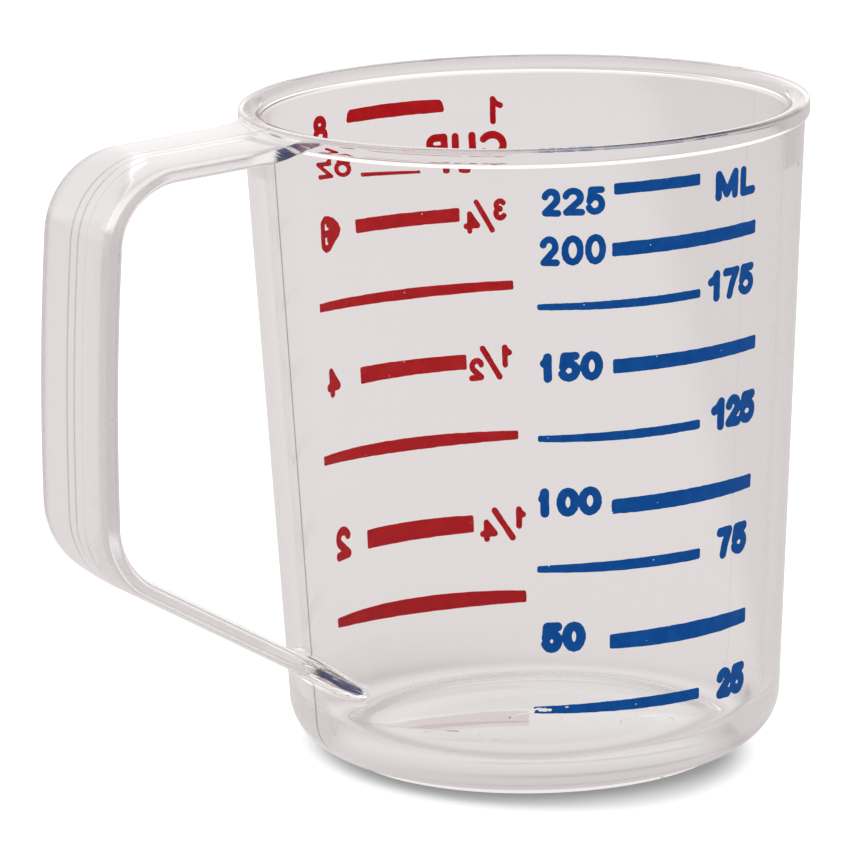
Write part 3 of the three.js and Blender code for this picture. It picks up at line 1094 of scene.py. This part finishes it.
ounces = {
    "lines": {
        8: (-6.95, 8.6, (76.83, 76.9, 76.85), (1.7, 1.82, 1.63)),
        7: (-2.8, 7.0, (69.95, 70.0, 70.0), (0.6, 0.75, 0.85)),
        6: (-8.1, 8.6, (62.47, 62.5, 62.68), (1.83, 1.83, 1.83)),
        5: (-15.2, 17.4, (52.8, 52.73, 53.3), (1.2, 1.42, 1.1)),
        4: (-8.15, 9.1, (42.85, 42.93, 43.05), (2.02, 2.1, 2.25)),
        3: (-15.0, 18.7, (32.7, 32.78, 33.45), (1.2, 1.68, 1.2)),
        2: (-8.1, 9.4, (21.07, 21.16, 21.27), (2.32, 2.55, 2.5)),
        1: (-15.1, 17.4, (10.9, 11.04, 11.68), (1.6, 2.15, 1.25)),
    },
    "marks": {
        "1": (((-14.9, -13.1),), 74.0, 77.75, 0.78),
        "CUP": (((-15.2, -11.2), (-11.0, -7.65), (-7.1, -4.0)), 69.4, 73.15, 1.0),
        "8": (((12.1, 15.15),), 73.8, 77.75, 0.98),
        "OZ": (((8.6, 12.0), (12.4, 15.9)), 69.8, 73.1, 0.85),
        "3/4": (((-14.7, -12.8), (-13.0, -10.1), (-10.95, -8.6)), 59.85, 64.4, 0.74),
        "6": (((11.55, 16.05),), 60.15, 64.95, 0.95),
        "1/2": (((-14.55, -13.15), (-13.15, -10.05), (-10.65, -8.4)), 40.2, 44.9, 0.82),
        "4": (((13.4, 16.6),), 41.2, 45.1, 1.15),
        "1/4": (((-15.5, -14.1), (-14.0, -10.7), (-11.5, -8.95)), 18.5, 23.1, 0.86),
        "2": (((12.9, 16.7),), 19.6, 24.05, 1.22),
    },
}


def printedScale(unit, scale, facing, colourName):
    ink = printInk(colourName)
    for value, line in scale["lines"].items():
        bar(f"{unit}_bar_{value}", facing, line, value, ink)
    for text, mark in scale["marks"].items():
        plain = text.replace("/", "_")
        label(f"{unit}_mark_{plain}", text, facing, mark, len(text) + int(mark[1]), ink)
    print(unit, "scale printed")


printedScale("millilitre", millilitres, printing["blueFacing"], "blue")
printedScale("ounce", ounces, printing["redFacing"], "red")


studio = {
    "floorSize": 6,
    "floorDrop": 0.05 * mm,
    "floorColour": (0.92, 0.92, 0.92),
    "floorLift": (0.23, 0.23, 0.23),
    "glassFloorColour": (0.67, 0.637, 0.632),
    "glowStops": [  # painted light: a glow on the paper under the cup, seen through the plastic, in rings by distance from the middle
        (0.0, (0.69, 0.655, 0.65)),
        (0.36, (0.71, 0.675, 0.67)),
        (0.43, (0.76, 0.725, 0.72)),
        (0.5, (0.75, 0.715, 0.71)),
        (0.57, (0.61, 0.575, 0.57)),
        (0.64, (0.65, 0.615, 0.61)),
        (0.72, (0.79, 0.755, 0.75)),
        (0.8, (0.69, 0.655, 0.65)),
    ],
    "glowReach": 40 * mm,
    "underCup": (31 * mm, 35 * mm),
    "dimFloorColour": (0.615, 0.582, 0.577),  # painted shade on the paper away from the handle, seen past the wall
    "dimHeading": (0.8836, -0.468, 0),
    "dimReach": (36 * mm, 52 * mm),
    "skyStops": [
        (0.0, (0.72, 0.69, 0.69)),
        (0.05, (1.25, 1.24, 1.23)),
        (0.4, (1.2, 1.18, 1.18)),
        (0.65, (0.85, 0.82, 0.82)),
        (0.9, (1.1, 1.08, 1.08)),
    ],
    "fill": 1.0,
    "lampPlace": (-0.5, 0.5, 1.3),
    "lampSize": 0.9,
    "lampPower": 4,
}


def studioFloor():
    half = studio["floorSize"] / 2 / mm
    low = -studio["floorDrop"] / mm
    corners = [(-half, -half, low), (half, -half, low), (half, half, low), (-half, half, low)]
    floor = placed("studio_floor", corners, [(0, 1, 2, 3)])
    material, shade = newMaterial("pale paper sweep")
    camera = rayIs(shade, "Is Camera Ray")
    place = objectPlace(shade)
    reach = shade.node("ShaderNodeVectorMath", {"operation": "LENGTH"}, {0: place}, 1)
    away = reach.step(*studio["underCup"])
    share = reach * (1 / studio["glowReach"])
    glow = shade.node("ShaderNodeValToRGB", {"stops": studio["glowStops"]}, {0: share})
    glow = shade.mix(away, glow, (0, 0, 0))
    headings = {0: place, 1: studio["dimHeading"]}
    dim = shade.node("ShaderNodeVectorMath", {"operation": "DOT_PRODUCT"}, headings, 1)
    dim = dim.step(*studio["dimReach"])
    paper = shade.mix(dim, studio["glassFloorColour"], studio["dimFloorColour"])
    throughCup = shade.mix(away, (0, 0, 0), paper)
    matte = shade.node("ShaderNodeBsdfDiffuse", None, {
        "Color": shade.mix(camera, throughCup, studio["floorColour"]),
    })
    lift = shade.node("ShaderNodeEmission", None, {
        "Color": shade.mix(camera, glow, studio["floorLift"]),
        "Strength": 1,
    })
    finishMaterial(shade, shade.node("ShaderNodeAddShader", None, {0: matte, 1: lift}))
    floor.data.materials.append(material)


def studioWorld():
    world = bpy.data.worlds.new("white studio")
    scene.world = world
    world.use_nodes = True
    world.node_tree.nodes.clear()
    shade = Shade(world.node_tree)
    heading = shade.node("ShaderNodeTexCoord", output="Generated")
    height = shade.node("ShaderNodeSeparateXYZ", None, {0: heading}, "Z")
    sky = shade.node("ShaderNodeValToRGB", {"stops": studio["skyStops"]}, {0: height})
    camera = rayIs(shade, "Is Camera Ray")
    mirrored = rayIs(shade, "Is Glossy Ray").most(rayIs(shade, "Is Transmission Ray"))
    lit = shade.mix(mirrored, (studio["fill"],) * 3, sky)
    colour = shade.mix(camera, lit, (1, 1, 1))
    background = shade.node("ShaderNodeBackground", None, {"Color": colour, "Strength": 1})
    shade.node("ShaderNodeOutputWorld", None, {"Surface": background})


def studioLamp():
    lamp = bpy.data.lights.new("overhead softbox", "AREA")
    lamp.size = studio["lampSize"]
    lamp.energy = studio["lampPower"]
    holder = bpy.data.objects.new("overhead_softbox", lamp)
    scene.collection.objects.link(holder)
    holder.location = studio["lampPlace"]
    holder.visible_glossy = False
    holder.visible_transmission = False
    holder.rotation_euler = (-holder.location).to_track_quat("-Z", "Y").to_euler()


studioFloor()
studioWorld()
studioLamp()
print("studio set")


view = {
    "place": (-336.93, -607.84, 201.43),
    "heading": (0.4561, 0.8612, -0.2243),
    "roll": -0.02262,
    "lens": 238.07,
    "sensor": 36,
    "clipEnd": 100,
}


def photoCamera():
    camera = bpy.data.cameras.new("photo view")
    camera.sensor_width = view["sensor"]
    camera.lens = view["lens"]
    camera.clip_end = view["clipEnd"]
    holder = bpy.data.objects.new("photo_view", camera)
    scene.collection.objects.link(holder)
    heading = Vector(view["heading"]).normalized()
    level = heading.cross(Vector((0, 0, 1))).normalized()
    over = level.cross(heading)
    right = level * math.cos(view["roll"]) + over * math.sin(view["roll"])
    up = right.cross(heading)
    turn = Matrix((right, up, -heading)).transposed()
    holder.matrix_world = Matrix.Translation(Vector(view["place"]) * mm) @ turn.to_4x4()
    scene.camera = holder


photoCamera()
print("camera set")
